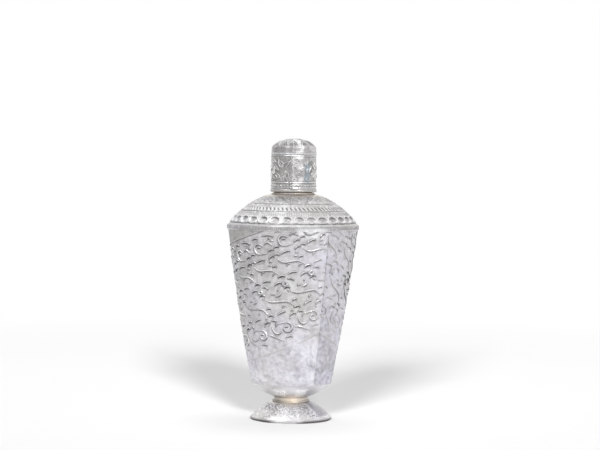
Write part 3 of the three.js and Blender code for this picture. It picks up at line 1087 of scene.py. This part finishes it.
plainPieces = (
    # piece, CAD node, body, finish, easing in mm, corner that stays sharp
    ("foot_rim_round", "foot_rim_wire", "vessel", footSilver, 0.10, 30),
    ("stem_polished", "stem_tube", "vessel", polishedSilver, 0.05, 30),
    ("stem_ring_bead", "stem_ring", "vessel", polishedSilver, 0.0, 50),
    ("bowl_polished", "bowl", "vessel", polishedSilver, 0.0, 30),
    ("neck_tube_worn", "neck_tube", "vessel", wornSilver, 0.08, 30),
    ("neck_collar_bead", "neck_collar", "vessel", polishedSilver, 0.0, 50),
    ("applicator_disc_worn", "applicator_disc", "applicator", wornSilver, 0.08, 30),
    ("applicator_ferrule_worn", "applicator_ferrule", "applicator", wornSilver, 0.12, 30),
    ("applicator_rod_worn", "applicator_rod", "applicator", wornSilver, 0.05, 30),
    ("applicator_tip_worn", "applicator_tip", "applicator", wornSilver, 0.0, 40),
    ("cap_mouth_bead", "cap_mouth_ring", "cap", capSilver, 0.0, 50),
    ("cap_liner_worn", "cap_liner", "cap", wornSilver, 0.06, 30),
    ("cap_dome_wire", "cap_dome_bead", "cap", capSilver, 0.0, 50),
)
plainWear = {
    "rimFrontSpan": (-0.62, 0.35),  # radians, the front stretch of the foot's rim wire, lighter and less darkened below
    "bowlHighlights": ((-0.75, -0.1, 0.3), (0.1, 0.6, 0.2)),  # radians where the two painted highlights lie, and how softly they end
    "bowlHeights": (8.3, 12.3),
    # painted shade below these heights: the foot's rim wire at the floor, the neck under the cap, the cap's
    # mouth ring
    "paintedShadeBelow": {"foot_rim_wire": (0.72, 0.15), "neck_tube": (81.4, 0.3), "cap_mouth_ring": (81.10, 0.12)},
    "even": {"neck_collar": {"tone": 0.4}, "cap_mouth_ring": {"tone": -0.4, "tint": -0.4}},
}

for name, node, body, finish, easing, corner in plainPieces:
    piece = plainTurned(name, node, easing * mm, corner)
    points = pointsOf(piece)
    azimuth, height = azimuthOf(points), points[:, 2] / mm
    edge, fade = plainWear["paintedShadeBelow"].get(node, (0.0, 1.0))  # mm up
    # painted shade below the edge
    shadeBelow = unit((edge - height) / fade)
    if node == "foot_rim_wire":
        rimFront = within(azimuth, *plainWear["rimFrontSpan"], 0.25)
        shadeBelow *= 1.1 * (1 - 0.6 * rimFront)
        keepFields(piece, tone=1.1 * rimFront - 0.7)
    if node == "bowl":  # painted highlights in two places, a little darker elsewhere
        highlightSpots = np.maximum(*(within(azimuth, *spot) for spot in plainWear["bowlHighlights"]))
        highlightSpots *= within(height, *plainWear["bowlHeights"], 0.9)
        keepFields(piece, tone=1.1 * highlightSpots - 0.05, shine=0.9 * highlightSpots**2, tint=0.2 - 0.7 * highlightSpots)
    if node in ("stem_tube", "stem_ring"):  # painted shade: darker towards its sides and the left, with painted light just right of the front
        sides = 0.6 * unit(np.abs(azimuth) - 0.4) + 0.5 * unit(-azimuth - 0.1)
        keepFields(piece, tone=0.3 * hump(azimuth, 0.15, 0.3) - 0.42 - sides)
    if node in plainWear["paintedShadeBelow"]:
        keepFields(piece, grime=shadeBelow)
    for field, value in plainWear["even"].get(node, {}).items():
        keepFields(piece, **{field: 0 * height + value})
    settle(piece, finish, body, "plain_silver" if finish is wornSilver else "polished_silver", node)
print("plain pieces turned:", len(plainPieces))


# Camera: low in front, a little rolled, set by where the foot and the horizon stand in the picture

photo = {
    "width": 600,
    "height": 450,
    "focal": 1950.0,  # px
    "axisColumn": 293.0,  # px, the middle of the foot
    "horizonRow": 151.0,
    "footRow": 419.5,
    "distance": 0.693,
    "roll": 0.7,  # degrees
}


def addCamera():
    away = photo["distance"]
    eyeHeight = (photo["footRow"] - photo["horizonRow"]) / photo["focal"] * away
    aside = (photo["width"] / 2 - photo["axisColumn"]) / photo["focal"] * away
    tilt = math.atan((photo["height"] / 2 - photo["horizonRow"]) / photo["focal"])
    pickNothing()
    bpy.ops.object.camera_add(location=(aside, -away, eyeHeight), rotation=(math.pi / 2 - tilt, 0, 0))
    camera = bpy.context.object
    camera.rotation_euler.rotate_axis("Z", math.radians(photo["roll"]))
    camera.data.sensor_width = 36.0
    camera.data.lens = photo["focal"] / photo["width"] * camera.data.sensor_width
    camera.data.clip_start = 0.01
    bpy.context.scene.camera = camera


# Studio: a white floor and surround, two soft suns in front, lamps, and grey cards for the silver to mirror

studio = {
    "floorReach": 3.0,
    "floorGrey": 0.88,
    "floorFades": (0.25, 0.42),  # m from the bottle, to pure white
    "suns": ((-14.5, 22.0, 3.2, 14.5), (12.0, 22.0, 3.2, 10.5)),  # degrees to the right, up, strength, width
    "sparkLamps": ((-0.45, -0.55, 0.75, 1.0), (0.40, -0.75, 0.62, 1.4)),  # place and power
    "sparkSize": 0.2,
    "ambient": 0.09,
    "overhead": (0.03, 0.11, 0.8, 1.9, 0.42),  # place, power, size
    "cards": (  # place, turn, width, height, glow
        (0.0, -1.5, 0, 2.6, 1.0, 0.48),
        (-1.0, -0.35, 80, 1.7, 0.9, 0.34),
        (1.0, -0.35, -80, 1.2, 0.9, 0.62),
    ),
}


def addLamp(place, power, size, inSilver=True):
    pickNothing()
    bpy.ops.object.light_add(type="AREA", location=place)
    lamp = bpy.context.object
    lamp.data.energy = power
    lamp.data.shape = "DISK"
    lamp.data.size = size
    lamp.visible_glossy = inSilver
    lamp.visible_diffuse = not inSilver
    lamp.rotation_euler = (Vector((0, 0, 0.05)) - Vector(place)).to_track_quat("-Z", "Y").to_euler()


def addSun(aside, up, power, wide):
    pickNothing()
    bpy.ops.object.light_add(type="SUN", rotation=(math.radians(90 - up), 0, math.radians(aside)))
    sun = bpy.context.object
    sun.data.energy = power
    sun.data.angle = math.radians(wide)
    sun.visible_glossy = False


def addFloor():
    pickNothing()
    bpy.ops.mesh.primitive_circle_add(vertices=96, radius=studio["floorReach"], fill_type="NGON")
    floor = bpy.context.object
    floor.name = "floor"
    material, start, principled = shader("floor_white")
    tree = material.node_tree
    principled.inputs["Base Color"].default_value = (studio["floorGrey"],) * 3 + (1,)
    principled.inputs["Roughness"].default_value = 0.9
    principled.inputs["Specular IOR Level"].default_value = 0.0
    place = start.node("ShaderNodeTexCoord", output="Object")
    away = start.node("ShaderNodeVectorMath", {"operation": "LENGTH"}, {0: place}, "Value")
    seen = start.node("ShaderNodeLightPath", output="Is Camera Ray") * away.between(*studio["floorFades"])
    white = start.node("ShaderNodeEmission", inputs={"Color": (1, 1, 1, 1)})
    plain = Wire(tree, principled.outputs[0])
    blend = start.node("ShaderNodeMixShader", inputs={0: seen, 1: plain, 2: white})
    blend.into(tree.nodes["Material Output"].inputs["Surface"])
    floor.data.materials.append(material)


def addCard(x, y, turn, width, height, glow):
    pickNothing()
    bpy.ops.mesh.primitive_plane_add(size=1, location=(x, y, height / 2),
                                     rotation=(math.pi / 2, 0, math.radians(turn)))
    card = bpy.context.object
    card.scale = (width, height, 1)
    bpy.ops.object.transform_apply()
    material, start, principled = shader("card_grey")
    grey = start.node("ShaderNodeEmission", inputs={"Color": (glow, glow, glow, 1)})
    grey.into(material.node_tree.nodes["Material Output"].inputs["Surface"])
    card.data.materials.append(material)
    for ray in ("visible_camera", "visible_diffuse", "visible_shadow"):
        setattr(card, ray, False)


def addWorld():
    world = bpy.data.worlds.new("surround")
    bpy.context.scene.world = world
    world.use_nodes = True
    tree = world.node_tree
    start = Wire(tree)
    rays = ("Is Camera Ray", "Is Glossy Ray", "Is Transmission Ray")
    seen = [start.node("ShaderNodeLightPath", output=ray) for ray in rays]
    shown = start.maths("MINIMUM", seen[0] + seen[1] + seen[2], 1.0)
    strength = shown * (1 - studio["ambient"]) + studio["ambient"]
    strength.into(tree.nodes["Background"].inputs["Strength"])
    tree.nodes["Background"].inputs["Color"].default_value = (1, 1, 1, 1)


addCamera()
addWorld()
addFloor()
for sun in studio["suns"]:  # these draw the two shadows, the others light the silver
    addSun(*sun)
for x, y, z, power in studio["sparkLamps"]:
    addLamp((x, y, z), power, studio["sparkSize"])
x, y, z, power, size = studio["overhead"]
addLamp((x, y, z), power, size, False)
for card in studio["cards"]:
    addCard(*card)
bpy.context.scene.view_settings.view_transform = "Standard"
print("studio set")
